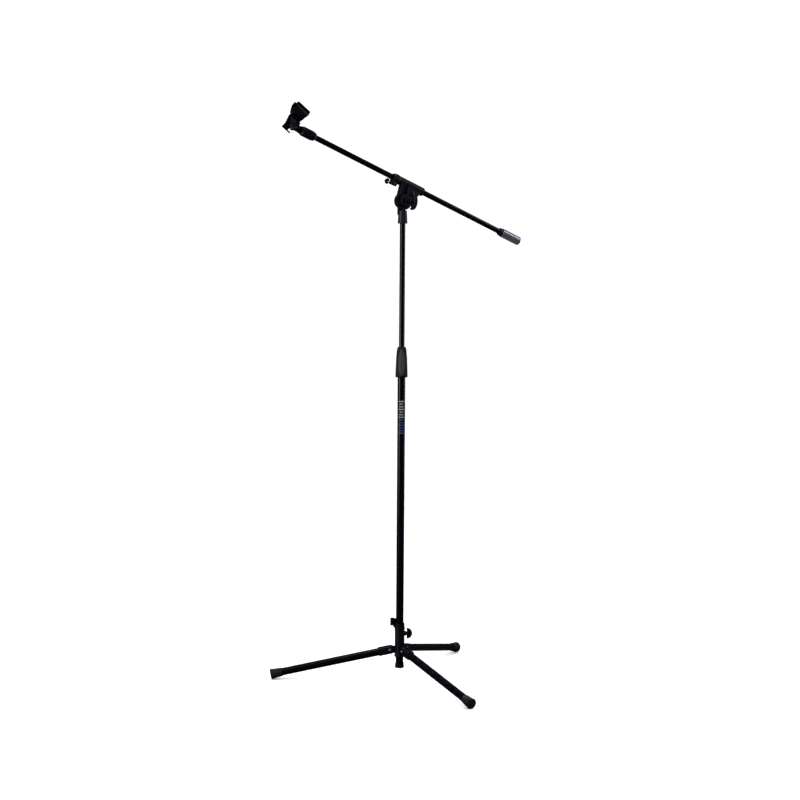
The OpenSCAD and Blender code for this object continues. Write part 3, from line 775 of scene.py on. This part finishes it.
# %% World: white to the camera and to matt surfaces, dim to the gloss
BACKDROP_STRENGTH = 1.12
ROOM_STRENGTH = 0.06
world = bpy.data.worlds.new("studio")
bpy.context.scene.world = world
world.use_nodes = True
world_tree = world.node_tree
backdrop = world_tree.nodes["Background"]
ambient = world_tree.nodes.new("ShaderNodeBackground")
backdrop.inputs["Color"].default_value = (1.0, 1.0, 1.0, 1.0)
backdrop.inputs["Strength"].default_value = BACKDROP_STRENGTH
ambient.inputs["Color"].default_value = (0.93, 0.96, 1.0, 1.0)
ambient.inputs["Strength"].default_value = ROOM_STRENGTH
seen = world_tree.nodes.new("ShaderNodeLightPath")
chooser = world_tree.nodes.new("ShaderNodeMixShader")
world_tree.links.new(seen.outputs["Is Glossy Ray"], chooser.inputs[0])
world_tree.links.new(backdrop.outputs[0], chooser.inputs[1])
world_tree.links.new(ambient.outputs[0], chooser.inputs[2])
world_tree.links.new(chooser.outputs[0], world_tree.nodes["World Output"].inputs["Surface"])

# %% Camera
CAMERA_DISTANCE = 5.0
CAMERA_HEIGHT = 1.323
CAMERA_TURN = math.radians(-32.0)
CAMERA_DROP = math.radians(-5.79)
CAMERA_ROLL = math.radians(0.41)
CAMERA_AIM = math.radians(0.044)
LENS_MM = 78.9
camera_data = bpy.data.cameras.new("camera")
camera_data.sensor_width = 36.0
camera_data.lens = LENS_MM
camera_data.clip_end = 100.0
camera = bpy.data.objects.new("camera", camera_data)
bpy.context.scene.collection.objects.link(camera)
turn = Matrix.Rotation(CAMERA_TURN, 4, "Z")
aim = (Matrix.Rotation(CAMERA_AIM, 4, "Z") @ Matrix.Rotation(math.pi / 2 + CAMERA_DROP, 4, "X")
       @ Matrix.Rotation(CAMERA_ROLL, 4, "Z"))
camera.matrix_world = turn @ Matrix.Translation((0, -CAMERA_DISTANCE, CAMERA_HEIGHT)) @ aim
bpy.context.scene.camera = camera


# %% Soft panels
def panel(name, side, front, height, width, tall, power, aim_height=0.8, colour=(1, 1, 1)):
    """An area light placed as the camera sees it: side to the right, front towards it."""
    light = bpy.data.lights.new(name, "AREA")
    light.shape = "RECTANGLE"
    light.size = width
    light.size_y = tall
    light.energy = power
    light.color = colour
    thing = bpy.data.objects.new(name, light)
    bpy.context.scene.collection.objects.link(thing)
    position = turn @ Vector((side, -front, height))
    thing.location = position
    towards = Vector((0, 0, aim_height)) - position
    thing.rotation_euler = towards.to_track_quat("-Z", "Y").to_euler()


panel("panel_left", side=-2.6, front=1.6, height=1.5, width=0.7, tall=2.6, power=62)
panel("panel_right", side=2.9, front=-0.5, height=1.6, width=0.45, tall=2.6, power=34,
      colour=(0.9, 0.94, 1.0))
panel("panel_top", side=0.0, front=0.3, height=4.2, width=2.4, tall=2.4, power=36, aim_height=0.0)
panel("panel_front", side=0.9, front=4.6, height=2.6, width=1.0, tall=1.2, power=22)
look = bpy.context.scene.view_settings
look.view_transform = "Standard"
look.use_curve_mapping = True
look.curve_mapping.black_level = (0.004, 0.004, 0.0032)
look.curve_mapping.update()
